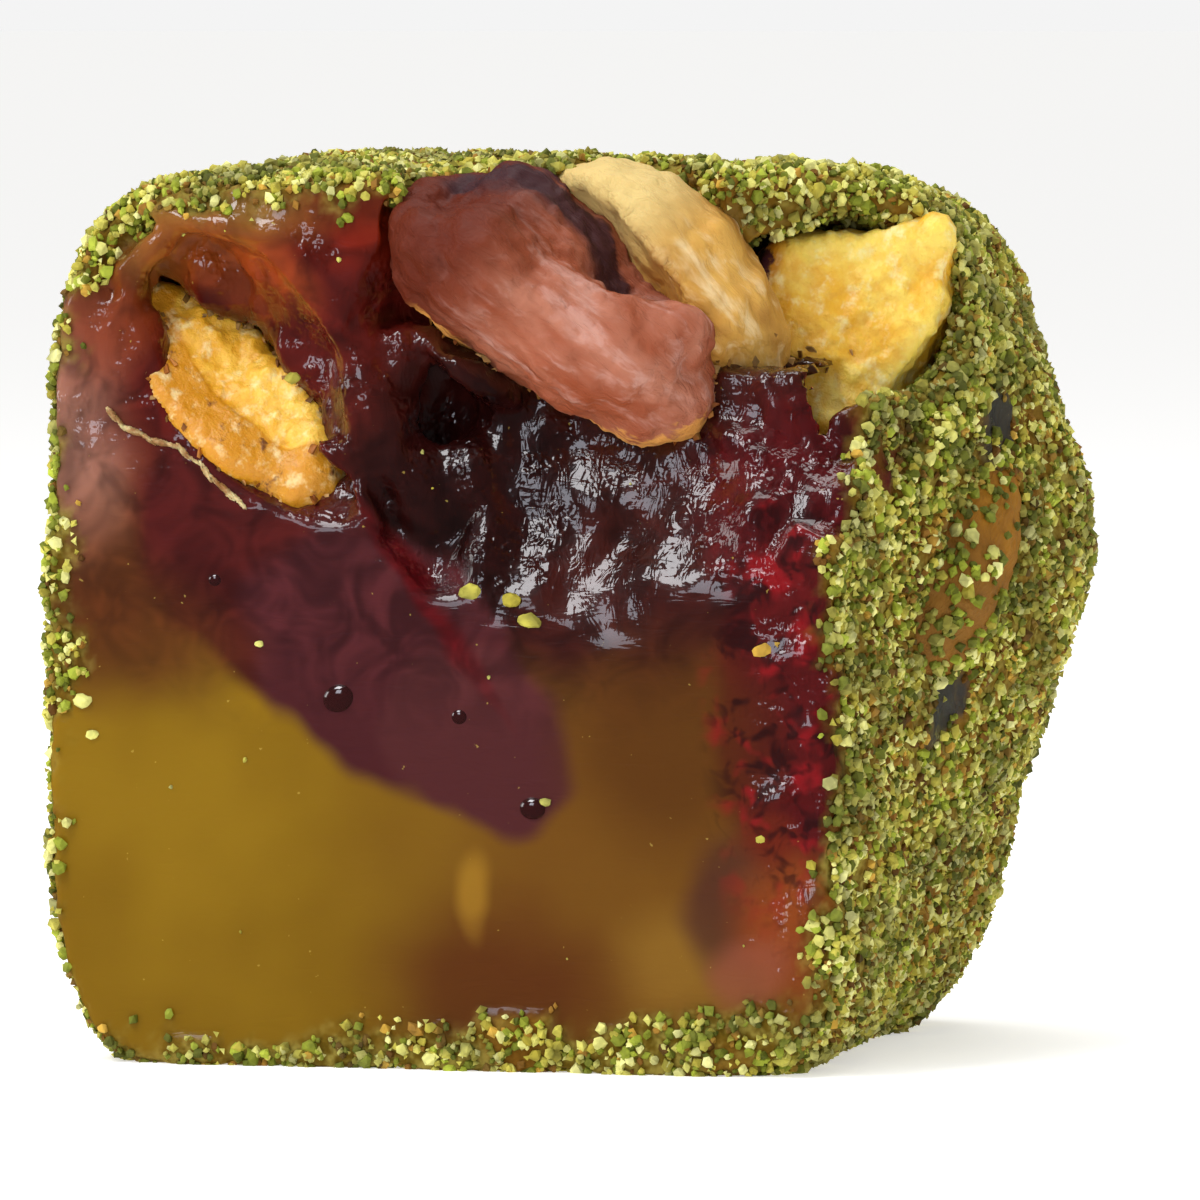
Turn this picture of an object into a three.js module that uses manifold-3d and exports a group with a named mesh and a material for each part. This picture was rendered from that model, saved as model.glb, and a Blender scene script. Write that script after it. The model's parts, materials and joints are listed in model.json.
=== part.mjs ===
// One cube of pistachio Turkish delight, cut open at the front.
// Millimetres, +Z up. The cut face looks along -Y, and the cube rests on its flat underside at Z = 0.
// Every kernel that shows at the cut or on a side is a solid of its own, seated in a pocket of the jelly.
import * as THREE from "three";
import { mergeVertices } from "three/addons/utils/BufferGeometryUtils.js";
import Module from "manifold-3d";

// ---- driving dimensions ----
const WIDTH = 24.6; // across the cut face
const DEPTH = 24.5; // from the cut face to the back
const HEIGHT = 27; // from the surface it stands on to the top
const SQUARENESS = 7; // exponent of the rounded cube: a higher one gives tighter corners
const CELLS = 15; // divisions along each side of the rounded cube
const KNIFE_ALLOWANCE = 2.2; // jelly in front of the cut face that the knife takes away
const SETTLED = 0.6; // jelly pressed flat under the cube
const FIT_GAP = 0.3; // between a kernel and the wall of its pocket
const SWELL = 0.45; // how far the sides swell at their fullest
const FULLEST = 12; // height at which they swell most
const KERNEL_RINGS = 14;
const KERNEL_SIDES = 20;

const FRONT = -DEPTH / 2;
const RIGHT = WIDTH / 2;
const WAIST = HEIGHT / 2;

// Places where a kernel just under the surface pushes the jelly out.
const BULGES = [
  { at: [RIGHT, 2.8, 15.6], reach: 6.2, rise: 3.0 }, // round the flank kernel
  { at: [-RIGHT, 3, 9], reach: 5.5, rise: 0.6 },
  { at: [-RIGHT, -2, 19], reach: 4.5, rise: 0.5 },
  { at: [-4, DEPTH / 2, 18], reach: 6, rise: 0.9 },
  { at: [5, DEPTH / 2, 8], reach: 5, rise: 0.6 },
  { at: [-3, 4, HEIGHT], reach: 5, rise: 0.55 },
  { at: [6, 6, HEIGHT], reach: 4, rise: -0.5 }, // a shallow dip on the top
];

// What the knife tore out round the kernels, as overlapping hollows.
const HOLLOWS = [
  { at: [-6.3, FRONT - 0.9, 21.3], radii: [6.6, 3.0, 2.9], tilt: -49 }, // groove of the left kernel
  { at: [4.4, FRONT - 1.5, 20.2], radii: [8.0, 6.2, 7.9], tilt: -10 }, // round the centre kernel
  { at: [15, FRONT - 2, 24], radii: [9, 11.6, 8.5], tilt: 0 }, // the missing upper right corner
  { at: [5.6, FRONT + 0.8, HEIGHT - 1], radii: [3.2, 4.6, 3.4], tilt: 0 }, // notch over the tan kernel
  { at: [10.0, FRONT + 7.6, 22.4], radii: [4.2, 4.6, 3.2], tilt: 10 }, // recess of the right kernel
];

// Kernels. turn holds degrees: roll about the length, lift out of level, swing into the cube.
// Each split is a broken face: the way it looks and its distance from the kernel's middle.
// The jelly stands back from an open one; it lies against the others.
const KERNELS = {
  kernel_centre: {
    at: [3.1, FRONT + 1.7, 23.2],
    size: [11.4, 5.6, 5.4],
    turn: [12, -36, 6],
    bend: 0.8,
    splits: [],
  },
  kernel_tan: {
    at: [5.5, FRONT + 4.2, 23.2],
    size: [8.8, 5.8, 5.4],
    turn: [-15, -42, 20],
    bend: 0.3,
    splits: [],
  },
  kernel_left: {
    at: [-6.0, FRONT + 2.3, 20.8],
    size: [9.0, 4.6, 4.2],
    turn: [25, -52, 4],
    bend: 0.4,
    splits: [{ facing: [0.2, -0.9, 0.38], distance: 0.7, open: true }],
  },
  kernel_right: {
    at: [10.6, FRONT + 8.9, 22.2],
    size: [9.6, 7.4, 6.8],
    turn: [-12, 68, -30],
    bend: 0.2,
    splits: [
      { facing: [0.3, -0.93, 0.12], distance: 1.3, open: true },
      { facing: [-0.18, 0.1, 0.98], distance: 2.4 },
      { facing: [0.88, 0, -0.47], distance: 1.9 },
      { facing: [-0.87, 0, -0.48], distance: 2.2 },
      { facing: [1, 0.2, 0], distance: 2.4 },
    ],
  },
  kernel_flank: {
    at: [RIGHT + 0.35, -2.0, 15.4],
    size: [9.0, 4.6, 4.4],
    turn: [0, 46, 84],
    bend: 0.3,
    splits: [],
  },
};

// ---- booleans ----
const wasm = await Module();
wasm.setup();

function solidOf(geometry) {
  const bare = geometry.index ? geometry.toNonIndexed() : geometry.clone();
  const points = new THREE.BufferGeometry().setAttribute("position", bare.getAttribute("position"));
  const merged = mergeVertices(points, 1e-4);
  return new wasm.Manifold(
    new wasm.Mesh({
      numProp: 3,
      vertProperties: merged.attributes.position.array,
      triVerts: new Uint32Array(merged.index.array),
    }),
  );
}

function geometryOf(solid) {
  const mesh = solid.getMesh();
  const stride = mesh.numProp;
  const position = new Float32Array(mesh.numVert * 3);
  for (let i = 0; i < mesh.numVert; i++) {
    position.set(mesh.vertProperties.subarray(i * stride, i * stride + 3), i * 3);
  }
  const geometry = new THREE.BufferGeometry();
  geometry.setAttribute("position", new THREE.BufferAttribute(position, 3));
  geometry.setIndex(new THREE.BufferAttribute(new Uint32Array(mesh.triVerts), 1));
  geometry.computeVertexNormals();
  return geometry;
}

// ---- shaping ----
const smooth = (x, from, to) => THREE.MathUtils.smoothstep(x, from, to);

// Moves each vertex of a geometry to where place(point) puts it.
function reshape(geometry, place) {
  const position = geometry.getAttribute("position");
  const point = new THREE.Vector3();
  for (let i = 0; i < position.count; i++) {
    point.fromBufferAttribute(position, i);
    place(point);
    position.setXYZ(i, point.x, point.y, point.z);
  }
  return geometry;
}

// A slow unevenness of about 1, the same at the same point.
function ripple(p, wave) {
  const k = (2 * Math.PI) / wave;
  return (
    (Math.sin(k * p.x + 1.3 * Math.sin(k * 0.6 * p.z)) +
      Math.sin(k * 0.9 * p.y + 2.1) +
      Math.sin(k * 1.1 * p.z + 1.7 * Math.sin(k * 0.5 * p.x))) /
    3
  );
}

// Crowds the grid lines towards the cube's edges, where it curves.
const crowd = (t) => 0.6 * t + 0.4 * Math.sin((t * Math.PI) / 2);

// The uncut cube: rounded, swollen at the sides, leaning out at its upper right edge.
function roundedCube() {
  const halfDepth = (DEPTH + KNIFE_ALLOWANCE) / 2;
  const halfHeight = (HEIGHT + SETTLED) / 2;
  const outward = new THREE.Vector3();
  return reshape(new THREE.BoxGeometry(2, 2, 2, CELLS, CELLS, CELLS), (p) => {
    p.set(crowd(p.x), crowd(p.y), crowd(p.z));
    const norm =
      (Math.abs(p.x) ** SQUARENESS + Math.abs(p.y) ** SQUARENESS + Math.abs(p.z) ** SQUARENESS) **
      (1 / SQUARENESS);
    p.divideScalar(norm);
    outward.copy(p).normalize();
    p.x *= RIGHT;
    p.y = p.y * halfDepth - KNIFE_ALLOWANCE / 2;
    p.z = p.z * halfHeight + halfHeight - SETTLED;
    const full = Math.exp(-(((p.z - FULLEST) / 9) ** 2));
    p.x *= 1 + (SWELL / RIGHT) * full;
    p.y *= 1 + (SWELL / RIGHT) * full;
    const upperRight = smooth(p.z, 14, 24) * smooth(-p.y, -8, 8) * smooth(p.x, 4, RIGHT);
    p.x += 1.6 * upperRight;
    const lowerBackRight = (1 - smooth(p.z, 0, 11)) * smooth(p.x, 2, RIGHT) * smooth(p.y, -11, 3);
    p.x -= 1.5 * lowerBackRight;
    const upperLeft = smooth(p.z, 21, HEIGHT) * smooth(-p.x, 6, RIGHT);
    p.z -= 0.4 * upperLeft;
    const upperBack = smooth(p.z, 20, HEIGHT) * smooth(p.y, -DEPTH / 4, DEPTH / 2);
    p.z -= 0.7 * upperBack;
    for (const bulge of BULGES) {
      const far = p.distanceTo(new THREE.Vector3(...bulge.at)) / bulge.reach;
      p.addScaledVector(outward, bulge.rise * Math.exp(-far * far));
    }
    p.addScaledVector(outward, 0.2 * ripple(p, 11));
  });
}

// A pistachio kernel: a bent almond with a groove along its seam. size is length, width, thickness.
function kernel({ at, size, turn, bend }, grow = 0) {
  const [length, width, thickness] = size.map((s) => s + 2 * grow);
  const shape = reshape(new THREE.SphereGeometry(1, KERNEL_SIDES, KERNEL_RINGS), (p) => {
    const along = p.y;
    const around = Math.atan2(p.z, p.x);
    const groove = 1 - 0.07 * Math.exp(-(((around - Math.PI / 2) / 0.35) ** 2));
    const lumps = 1 + 0.035 * Math.sin(3 * around + 2.2 * along) * (1 - along * along);
    const girth = (1 - 0.13 * along) * groove * lumps;
    const across = p.x * girth;
    const through = p.z * girth;
    p.x = (along * length) / 2;
    p.y = (through * thickness) / 2;
    p.z = (across * width) / 2 - bend * (along * along - 0.4);
  });
  const [roll, lift, swing] = turn.map(THREE.MathUtils.degToRad);
  const place = new THREE.Matrix4()
    .makeTranslation(...at)
    .multiply(new THREE.Matrix4().makeRotationZ(swing))
    .multiply(new THREE.Matrix4().makeRotationY(-lift))
    .multiply(new THREE.Matrix4().makeRotationX(roll));
  shape.applyMatrix4(place);
  return solidOf(shape);
}

// A block whose one face passes at a distance from a point, with the block on the side that facing looks to.
function blockBeyond(point, facing, distance, reach = 40) {
  const direction = new THREE.Vector3(...facing).normalize();
  const block = new THREE.BoxGeometry(reach, reach, reach);
  block.translate(0, 0, reach / 2 + distance);
  block.applyQuaternion(new THREE.Quaternion().setFromUnitVectors(new THREE.Vector3(0, 0, 1), direction));
  block.translate(...point);
  return solidOf(block);
}

function hollow({ at, radii, tilt }) {
  const shape = new THREE.SphereGeometry(1, 24, 16);
  shape.scale(...radii);
  shape.rotateY(-THREE.MathUtils.degToRad(tilt));
  shape.translate(...at);
  return solidOf(shape);
}

// ---- the pieces ----
// Kernels press into each other: a later one is dented where an earlier one lies.
function kernelPiece(spec, earlier) {
  let piece = kernel(spec);
  for (const { facing, distance } of spec.splits) {
    piece = piece.subtract(blockBeyond(spec.at, facing, distance));
  }
  for (const other of earlier) piece = piece.subtract(kernel(other, FIT_GAP));
  return piece;
}

// The hole in the jelly for a kernel, wider than the kernel by the fit gap all round.
function pocket(spec) {
  let hole = kernel(spec, FIT_GAP);
  for (const { facing, distance, open } of spec.splits) {
    if (!open) hole = hole.subtract(blockBeyond(spec.at, facing, distance + FIT_GAP));
  }
  return hole;
}

function jellyPiece() {
  let jelly = solidOf(roundedCube());
  jelly = jelly.subtract(blockBeyond([0, FRONT, WAIST], [0, -1, 0], 0, 60));
  jelly = jelly.subtract(blockBeyond([0, 0, 0], [0, 0, -1], 0, 60));
  for (const spec of HOLLOWS) jelly = jelly.subtract(hollow(spec));
  for (const spec of Object.values(KERNELS)) jelly = jelly.subtract(pocket(spec));
  return jelly;
}

// ---- materials ----
const finish = (color, roughness) => new THREE.MeshStandardMaterial({ color, roughness, metalness: 0 });
const JELLY = finish(0x86630e, 0.35);
const KERNEL_FINISH = {
  kernel_centre: finish(0xa8664e, 0.55),
  kernel_tan: finish(0xb98d58, 0.6),
  kernel_left: finish(0xd69c30, 0.6),
  kernel_right: finish(0xe2b040, 0.6),
  kernel_flank: finish(0x8a6a2c, 0.65),
};

function named(name, solid, material) {
  const mesh = new THREE.Mesh(geometryOf(solid), material);
  mesh.name = name;
  return mesh;
}

const delight = new THREE.Group();
delight.add(named("jelly", jellyPiece(), JELLY));
const specs = Object.values(KERNELS);
Object.keys(KERNELS).forEach((name, i) => {
  delight.add(named(name, kernelPiece(specs[i], specs.slice(0, i)), KERNEL_FINISH[name]));
});

// The origin is the middle of the box round the whole cube, on the surface it stands on.
const middle = new THREE.Box3().setFromObject(delight).getCenter(new THREE.Vector3());
delight.position.set(-middle.x, -middle.y, 0);

export default delight;
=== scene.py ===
import json
import math
import random

import bpy
from mathutils import Euler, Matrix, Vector, noise
from mathutils.bvhtree import BVHTree

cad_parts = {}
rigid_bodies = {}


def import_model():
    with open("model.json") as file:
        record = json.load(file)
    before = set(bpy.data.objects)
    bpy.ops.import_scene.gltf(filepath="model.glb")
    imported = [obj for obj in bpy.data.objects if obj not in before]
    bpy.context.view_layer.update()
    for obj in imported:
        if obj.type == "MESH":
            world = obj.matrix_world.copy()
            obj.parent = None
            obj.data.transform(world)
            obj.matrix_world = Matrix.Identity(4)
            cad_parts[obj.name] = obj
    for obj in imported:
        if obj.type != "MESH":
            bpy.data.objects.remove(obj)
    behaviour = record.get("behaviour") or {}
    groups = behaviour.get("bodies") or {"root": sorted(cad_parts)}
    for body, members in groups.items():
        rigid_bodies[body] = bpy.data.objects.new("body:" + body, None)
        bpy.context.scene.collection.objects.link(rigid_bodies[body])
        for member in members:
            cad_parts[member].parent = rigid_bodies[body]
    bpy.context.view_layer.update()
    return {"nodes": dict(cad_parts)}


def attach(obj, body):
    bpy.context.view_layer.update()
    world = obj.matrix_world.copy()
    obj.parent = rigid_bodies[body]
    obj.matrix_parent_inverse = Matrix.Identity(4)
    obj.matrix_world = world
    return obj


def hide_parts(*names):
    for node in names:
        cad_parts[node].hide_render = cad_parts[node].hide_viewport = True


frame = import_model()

random.seed(7)

# ---------------------------------------------------------------- sizes
MM = 0.001
CUT_Y = -12.244 * MM  # the flat of the cut face
MIDDLE_X = -1.163 * MM  # middle of the cut face's width
HEIGHT = 27  # of the block, in millimetres
JELLY_CELL = 0.24 * MM  # mesh size of the jelly
KERNEL_CELL = 0.13 * MM  # and of the kernels
SNUG = 0.32 * MM  # how far a kernel swells to fill its pocket
SUNK = 0.08 * MM  # how far the lowest crumbs press into the floor
FULL_TURN = 6.283  # radians
WHOLLY_COATED = 0.999  # from here on the jelly itself is not seen
STEEP = 0.56  # millimetres back for each one up, on the wet slope under the centre kernel
LIT_PLACE = Vector((0, 0, 0.014))  # what the softboxes are turned to
SKY = 0.54  # strength of the white surroundings on dull surfaces
SKY_IN_GLOSS = 0.06  # and in wet ones
SKY_SEEN = 0.905  # as bright as the far floor
FLOOR_GLOW = 0.47  # keeps the paper white right up to the horizon


def spot(x, depth, z):
    """A place from millimetres: right of the cut face's middle, behind the cut face, above the floor."""
    return Vector((MIDDLE_X + x * MM, CUT_Y + depth * MM, z * MM))


# What the knife tore out: centre (x, depth, z), radii and tilt in degrees on the cut face.
HOLLOWS = [
    ((-6.3, -0.9, 21.3), (6.6, 3.0, 2.9), -49),
    ((4.4, -1.5, 20.2), (8.0, 6.2, 7.9), -10),
    ((15, -2, 24), (9, 11.6, 8.5), 0),
    ((5.6, 0.8, HEIGHT - 1), (3.2, 4.6, 3.4), 0),
    ((10.0, 7.6, 22.4), (4.2, 4.6, 3.2), 10),
]

# Kernels: middle (x, depth, z), length, width, thickness, then roll, lift and swing in degrees.
KERNELS = {
    "kernel_centre": ((3.1, 1.7, 23.2), (11.4, 5.6, 5.4), (12, -36, 6)),
    "kernel_tan": ((5.5, 4.2, 23.2), (8.8, 5.8, 5.4), (-15, -42, 20)),
    "kernel_left": ((-6.0, 2.3, 20.8), (9.0, 4.6, 4.2), (25, -52, 4)),
    "kernel_right": ((10.6, 8.9, 22.2), (9.6, 7.4, 6.8), (-12, 68, -30)),
    "kernel_flank": ((12.65, 10.25, 15.4), (9.0, 4.6, 4.4), (0, 46, 84)),
}


# ---------------------------------------------------------------- small tools
def linear(hex_colour):
    """A paint-chart colour as the linear light values that shaders take."""
    parts = [int(hex_colour[i : i + 2], 16) / 255 for i in (1, 3, 5)]
    return tuple(p / 12.92 if p <= 0.04045 else ((p + 0.055) / 1.055) ** 2.4 for p in parts) + (1.0,)


def set_inputs(tree, node, values):
    """values maps a socket's name or number to a value, or to the socket that feeds it."""
    for key, value in dict(values).items():
        if isinstance(value, bpy.types.NodeSocket):
            tree.links.new(value, node.inputs[key])
        else:
            node.inputs[key].default_value = value


def add(tree, kind, inputs=(), **settings):
    """Adds a node with its settings, and sets or links its inputs."""
    node = tree.nodes.new(kind)
    for name, value in settings.items():
        setattr(node, name, value)
    set_inputs(tree, node, inputs)
    return node


def only(obj):
    """Selects this object alone and makes it the active one."""
    bpy.ops.object.select_all(action="DESELECT")
    obj.select_set(True)
    bpy.context.view_layer.objects.active = obj
    return obj


def settle(obj):
    """Applies every modifier, from the first to the last."""
    only(obj)
    for modifier in list(obj.modifiers):
        bpy.ops.object.modifier_apply(modifier=modifier.name)
    return obj


def copy_of(node, name):
    """A loose, welded copy of a CAD node, to be worked on."""
    obj = frame["nodes"][node].copy()
    obj.data = obj.data.copy()
    obj.parent = None
    for key in list(obj.keys()):
        del obj[key]
    obj.name = name
    obj.data.name = name
    obj.data.materials.clear()
    bpy.context.scene.collection.objects.link(obj)
    only(obj)
    bpy.ops.object.mode_set(mode="EDIT")
    bpy.ops.mesh.select_all(action="SELECT")
    bpy.ops.mesh.remove_doubles(threshold=1e-6)
    bpy.ops.mesh.normals_make_consistent(inside=False)
    bpy.ops.object.mode_set(mode="OBJECT")
    return obj


def remesh(obj, cell):
    """Melts all that touches into one even skin, with meshes of about one cell."""
    only(obj)
    obj.data.remesh_voxel_size = cell
    obj.data.remesh_voxel_adaptivity = 0
    bpy.ops.object.voxel_remesh()
    return obj


def soften(obj, turns):
    obj.modifiers.new("soften", "SMOOTH").iterations = turns
    return settle(obj)


def shaded(obj, smooth=True):
    only(obj)
    if smooth:
        bpy.ops.object.shade_smooth()
    else:
        bpy.ops.object.shade_flat()
    return obj


def lump(at, radii, tilt=0):
    """An ellipsoid of jelly, to be melted into the block."""
    bpy.ops.object.select_all(action="DESELECT")
    bpy.ops.mesh.primitive_uv_sphere_add(
        segments=28,
        ring_count=18,
        radius=MM,
        location=spot(*at),
        rotation=(0.0, -math.radians(tilt), 0.0),
        scale=radii,
    )
    return bpy.context.object


def stance(node):
    """How a kernel lies: its middle, and the turn from its own axes to the world's."""
    at, _, turn = KERNELS[node]
    roll, lift, swing = (math.radians(a) for a in turn)
    return spot(*at), Euler((roll, -lift, swing)).to_matrix()


def pressed(obj, node, touches):
    """Presses a kernel into shape, as with a thumb. A touch is (place, reach, push), in millimetres
    on the kernel's own axes: along it, through it and across it."""
    middle, turn = stance(node)
    for place, reach, push in touches:
        at = middle + turn @ Vector(place) * MM
        move = turn @ Vector(push) * MM
        for v in obj.data.vertices:
            near = (v.co - at).length / (reach * MM)
            if near < 1:
                v.co += move * (1 - near * near) ** 2
    return obj


def join(obj, others):
    only(obj)
    for other in others:
        other.select_set(True)
    bpy.ops.object.join()
    return obj


def finished(obj, name):
    """Puts an object's place and turn into its mesh, and names both."""
    bpy.ops.object.transform_apply(location=True, rotation=True, scale=True)
    obj.name = name
    obj.data.name = name
    return obj


def paint(obj, name, worth):
    """Stores worth(place, normal) on every vertex under that name, for the relief and the colours."""
    mesh = obj.data
    layer = mesh.attributes.new(name, "FLOAT", "POINT")
    layer.data.foreach_set("value", [worth(v.co, v.normal) for v in mesh.vertices])
    return obj


def shape_tree(obj, name):
    """An empty geometry tree on the object, with its way in and way out."""
    tree = bpy.data.node_groups.new(name, "GeometryNodeTree")
    tree.interface.new_socket("Geometry", in_out="INPUT", socket_type="NodeSocketGeometry")
    tree.interface.new_socket("Geometry", in_out="OUTPUT", socket_type="NodeSocketGeometry")
    obj.modifiers.new(name, "NODES").node_group = tree
    return tree, add(tree, "NodeGroupInput").outputs[0], add(tree, "NodeGroupOutput").inputs[0]


def relief(obj, layers, swell=0.0):
    """Moves the surface out along its normal: swell everywhere, plus layers of unevenness. A layer is
    its height and grain in millimetres, the grain's stretch, its roughness and a painted worth or None."""
    tree, way_in, way_out = shape_tree(obj, "relief")
    place = add(tree, "GeometryNodeInputPosition").outputs[0]
    total = add(tree, "ShaderNodeValue").outputs[0]
    total.default_value = swell
    for i, (height, grain, stretch, rough, worth) in enumerate(layers):
        aside = (0.013 * i, 0, 0)  # so that no two layers rise at the same places
        where = add(
            tree, "ShaderNodeVectorMath", {0: place, 1: stretch, 2: aside}, operation="MULTIPLY_ADD"
        ).outputs[0]
        wave = add(
            tree,
            "ShaderNodeTexNoise",
            {"Vector": where, "Scale": 1 / (grain * MM), "Detail": 3.0, "Roughness": rough},
        ).outputs[0]
        level = add(tree, "ShaderNodeMath", {0: wave, 1: 0.5}, operation="SUBTRACT").outputs[0]
        rise = times(tree, level, 2 * height * MM)
        if worth:
            named = add(tree, "GeometryNodeInputNamedAttribute", {"Name": worth}, data_type="FLOAT")
            rise = times(tree, rise, named.outputs[0])
        total = add(tree, "ShaderNodeMath", {0: total, 1: rise}, operation="ADD").outputs[0]
    normal = add(tree, "GeometryNodeInputNormal").outputs[0]
    move = add(tree, "ShaderNodeVectorMath", {0: normal, "Scale": total}, operation="SCALE").outputs[0]
    moved = add(tree, "GeometryNodeSetPosition", {"Geometry": way_in, "Offset": move})
    tree.links.new(moved.outputs[0], way_out)
    return settle(obj)


# ---------------------------------------------------------------- where the coat lies
POCKETS = [stance(name) + (KERNELS[name][1],) for name in KERNELS if name != "kernel_flank"]
BESIDE_LEFT = [((-4.6, 1.5, 21.6), (5.0, 3.6, 3.6), -49)]  # folds torn open beside the left kernel


def behind_cut(place):
    """Millimetres from the opened surface: small on the flat and in the hollows, large on the outside."""
    nearest = (place.y - CUT_Y) / MM
    for at, radii, tilt in HOLLOWS + BESIDE_LEFT:
        back = Euler((0, math.radians(tilt), 0)).to_matrix() @ (place - spot(*at))
        reach = Vector((back.x / radii[0], back.y / radii[1], back.z / radii[2])).length / MM
        nearest = min(nearest, (reach - 1) * min(radii))
    for middle, turn, size in POCKETS:
        own = turn.inverted() @ (place - middle) / MM
        reach = Vector((own.x / size[0], own.y / size[2], own.z / size[1])).length * 2
        nearest = min(nearest, (reach - 1) * size[2] / 2 - 0.2)
    return nearest


# Where the coat is rubbed thin over the flank kernel: middle, radii and how much is gone.
RUBBED = [
    ((13.9, 10.2, 15.4), (2.6, 0.75, 3.1), 0.9),
    ((13.4, 8.9, 10.9), (2.4, 1.2, 1.9), 0.94),
    ((13.6, 10.9, 19.1), (2.4, 1.2, 1.4), 0.94),
    ((13.2, 7.6, 6.6), (2.4, 0.9, 1.2), 0.45),
]


def rubbed(place):
    """How much of the coat has rubbed off here, with a ragged border."""
    worn = 0.0
    for at, radii, gone in RUBBED:
        off = place - spot(*at)
        reach = Vector((off.x / radii[0], off.y / radii[1], off.z / radii[2])).length / MM
        reach += 0.5 * noise.noise(place * 900) + 0.4 * noise.noise(place * 2600)
        worn = max(worn, gone * max(0.0, min(1.0, (1.2 - reach) / 0.5)))
    return worn


def smeared(place):
    """Millimetres by which crumbs have crept over the cut face from its four edges."""
    across = (place.x - MIDDLE_X) / MM
    height = place.z / MM
    wander = 1.1 * noise.noise(place * 260)
    from_foot = 0.7 + 0.07 * (across + 12) - height
    from_top = height - 25.6 + 0.6 * max(0.0, min(1.0, (across - 3) / 3)) + 0.5 * wander
    from_left = -11.7 - across + wander
    from_right = across - 11.9 + wander + 0.3 * math.exp(-(((height - 11.5) / 2.6) ** 2))
    in_corner = 4.7 - math.hypot(across + 13.4, height - 27.4) + 0.9 * wander
    return max(from_foot, from_top, from_left, from_right, in_corner)


def coated(place, normal):
    """0 where the knife opened the jelly, 1 under the coat, with a ragged border."""
    ragged = 0.5 * noise.noise(place * 700) + 0.35 * noise.noise(place * 2300)
    far = behind_cut(place)
    reach = max(far - 0.3 - 0.6 * max(0.0, 1 - far / 0.4), 0.6 * smeared(place))
    return max(0.0, min(1.0, (reach + ragged) / 0.4)) * (1 - rubbed(place))


def fringed(place, normal):
    """1 along the coat's border with the cut, 0 a little way behind it."""
    far = behind_cut(place)
    sparse_low = 1.0 if place.z > 3 * MM else 0.3
    return coated(place, normal) * max(0.0, min(1.0, (1.7 - far) / 0.8)) * sparse_low


def torn(place, normal):
    """1 in the hollows, less on the flat above them, 0 on the smooth flat below."""
    depth = (place.y - CUT_Y) / MM
    high = 0.35 * max(0.0, min(1.0, (place.z / MM - 14) / 5))
    across = (place.x - MIDDLE_X) / MM
    column = 0.6 * max(0.0, min(1.0, (across - 9) / 1.2))
    cheek = 1.6 * (1 - math.hypot((across + 10.8) / 1.7, (place.z / MM - 20.0) / 3.0))
    cheek = max(0.0, min(0.8, cheek))  # wrinkled skin by the left edge
    return max(high, column, cheek, min(1.0, depth / 0.4)) * (1 - coated(place, normal))


def rugged(place, normal):
    """1 where the jelly broke in lumps beside the kernels, less on the long slope between them."""
    across = (place.x - MIDDLE_X) / MM
    slope = max(0.0, min(1.0, 1.3 - abs(across - 5.4) / 4.2))
    slope *= max(0.0, min(1.0, (20 - place.z / MM) / 1.5))
    return torn(place, normal) * (1 - 0.8 * slope)


# ---------------------------------------------------------------- finishes
def material(name):
    made = bpy.data.materials.new(name)
    made.use_nodes = True
    tree = made.node_tree
    tree.nodes.clear()
    shader = add(tree, "ShaderNodeBsdfPrincipled")
    add(tree, "ShaderNodeOutputMaterial", {0: shader.outputs[0]})
    return made, tree, shader


def mix(tree, amount, below, above):
    """above laid over below by amount. Colours may be chart colours or sockets."""
    values = [linear(c) if isinstance(c, str) else c for c in (below, above)]
    inputs = {0: amount, 6: values[0], 7: values[1]}
    return add(tree, "ShaderNodeMix", inputs, data_type="RGBA").outputs[2]


def grain(tree, place, size, detail, rough=0.55, distort=0.0):
    """Noise whose patches are about size millimetres across."""
    return add(
        tree,
        "ShaderNodeTexNoise",
        {
            "Vector": place,
            "Scale": 1 / (size * MM),
            "Detail": detail,
            "Roughness": rough,
            "Distortion": distort,
        },
    ).outputs[0]


def ramp(tree, value, low, high, bottom=0.0, top=1.0, kind="SMOOTHSTEP"):
    """Rises from bottom to top while value goes from low to high."""
    settings = {0: value, 1: low, 2: high, 3: bottom, 4: top}
    return add(tree, "ShaderNodeMapRange", settings, interpolation_type=kind).outputs[0]


def times(tree, a, b):
    return add(tree, "ShaderNodeMath", {0: a, 1: b}, operation="MULTIPLY").outputs[0]


def inside(tree, place, at, radii, tilt, soft):
    """1 within a tilted ellipsoid, fading to 0 across soft of its radius. An upright one needs no
    turning, and renders faster so."""
    if tilt:
        where = add(
            tree,
            "ShaderNodeMapping",
            {0: place, 1: spot(*at), 2: (0, -math.radians(tilt), 0), 3: Vector(radii) * MM},
            vector_type="TEXTURE",
        ).outputs[0]
    else:
        parts = Vector([1 / (r * MM) for r in radii])
        middle = Vector([-a * b for a, b in zip(spot(*at), parts)])
        where = add(
            tree, "ShaderNodeVectorMath", {0: place, 1: parts, 2: middle}, operation="MULTIPLY_ADD"
        ).outputs[0]
    reach = add(tree, "ShaderNodeVectorMath", {0: where}, operation="LENGTH").outputs["Value"]
    return ramp(tree, reach, 1 + soft, 1 - soft)


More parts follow.
